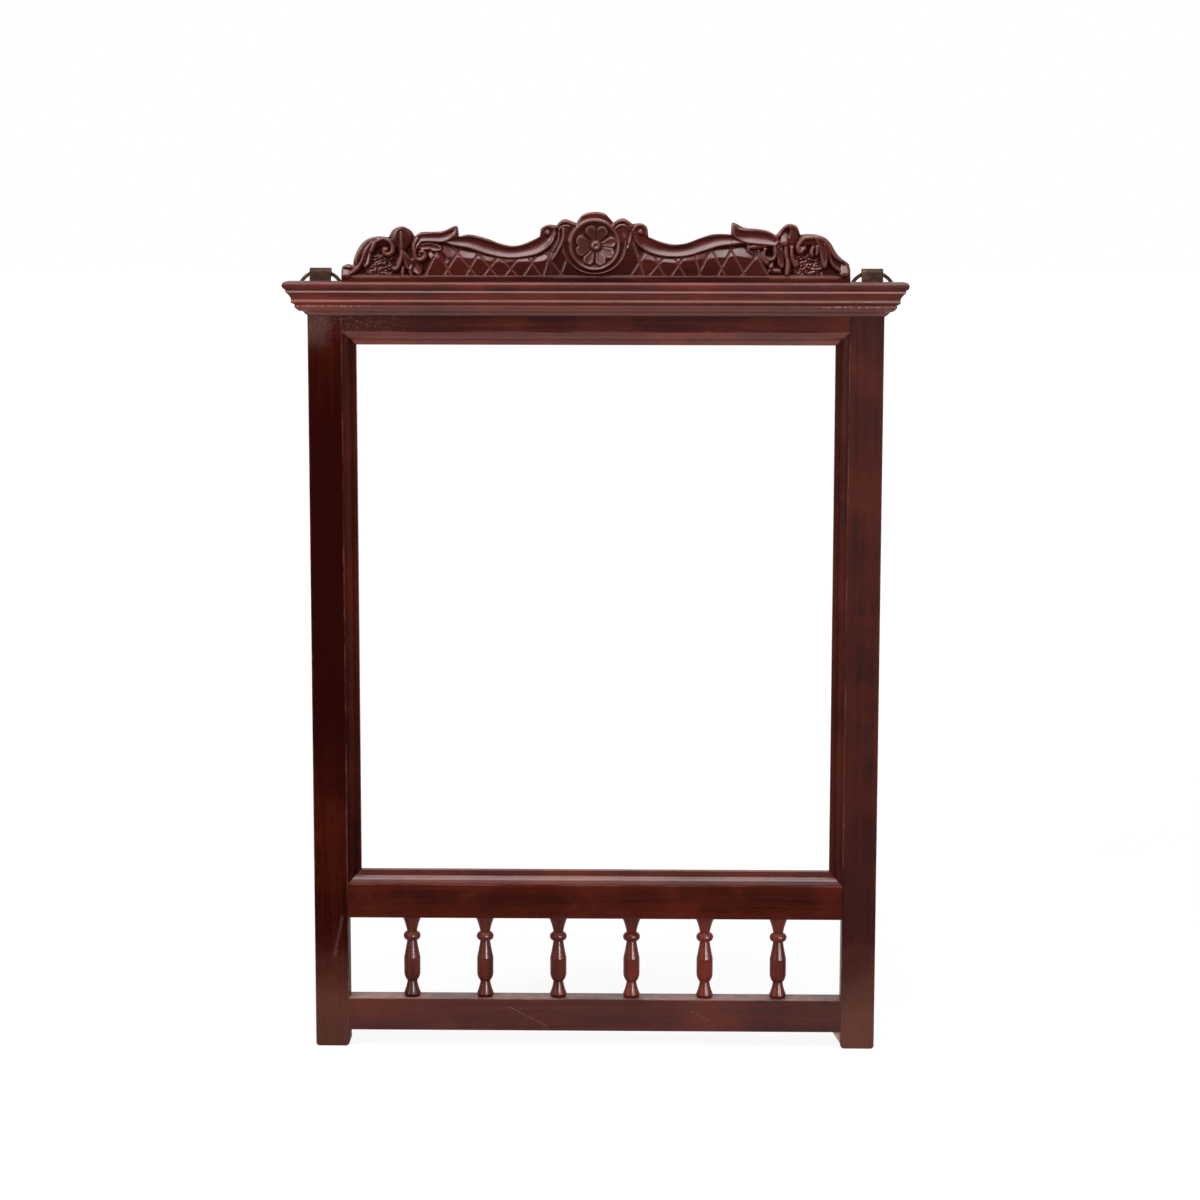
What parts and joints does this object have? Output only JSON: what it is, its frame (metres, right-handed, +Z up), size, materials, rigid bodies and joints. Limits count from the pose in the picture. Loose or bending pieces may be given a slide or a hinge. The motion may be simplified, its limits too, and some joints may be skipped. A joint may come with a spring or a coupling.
{
  "type": "carved wall mirror",
  "caption": "Upright wall mirror in a dark red mahogany frame with a carved crest, stepped cornice, turned spindle gallery and ring hangers.",
  "frame": {"origin": "bottom centre of the whole mirror: on the plane of the feet, midway across the width, halfway between the cornice nose and the back of the hangers", "axes": "+Z up, +X to the viewer's right, the mirror faces -Y and its back, towards the wall, faces +Y"},
  "size_m": [0.6642, 0.0604, 0.9152],
  "materials": {
    "polished_mahogany": "dark red-brown mahogany stain under an old semi-gloss polish, rubbed paler along the arrises",
    "carved_mahogany": "the same polish over hand carving, darker in the hollows and glossier on the high parts",
    "dowel_wood": "bare turned hardwood",
    "silvered_glass": "clear silvered plate glass",
    "plywood": "bare thin plywood, dulled with age",
    "steel_pins": "plain drawn wire",
    "aged_brass": "brown-bronzed brass, worn on the edges"
  },
  "bodies": {
    "frame": {"left_stile": "polished_mahogany", "right_stile": "polished_mahogany", "top_rail": "polished_mahogany", "middle_rail": "polished_mahogany", "bottom_rail": "polished_mahogany", "cornice_front": "polished_mahogany", "cornice_left_return": "polished_mahogany", "cornice_right_return": "polished_mahogany", "sight_moulding_top": "polished_mahogany", "sight_moulding_bottom": "polished_mahogany", "sight_moulding_left": "polished_mahogany", "sight_moulding_right": "polished_mahogany", "right_foot_block": "polished_mahogany", "spindle_1": "polished_mahogany", "spindle_2": "polished_mahogany", "spindle_3": "polished_mahogany", "spindle_4": "polished_mahogany", "spindle_5": "polished_mahogany", "spindle_6": "polished_mahogany", "crest_board": "carved_mahogany", "crest_dowels": "dowel_wood", "mirror_glass": "silvered_glass", "back_board": "plywood", "back_board_pins": "steel_pins", "left_hanger_strap": "aged_brass", "left_hanger_screws": "aged_brass", "right_hanger_strap": "aged_brass", "right_hanger_screws": "aged_brass"},
    "left_ring": {"left_hanger_ring": "aged_brass"},
    "right_ring": {"right_hanger_ring": "aged_brass"}
  },
  "joints": [
    {"name": "left_ring_swing", "type": "hinge", "parent": "frame", "child": "left_ring", "pos_m": [-0.2965, 0.025, 0.84994], "axis": [1, 0, 0], "range_deg": [0, 220]},
    {"name": "right_ring_swing", "type": "hinge", "parent": "frame", "child": "right_ring", "pos_m": [0.2965, 0.025, 0.84994], "axis": [1, 0, 0], "range_deg": [0, 220]}
  ]
}
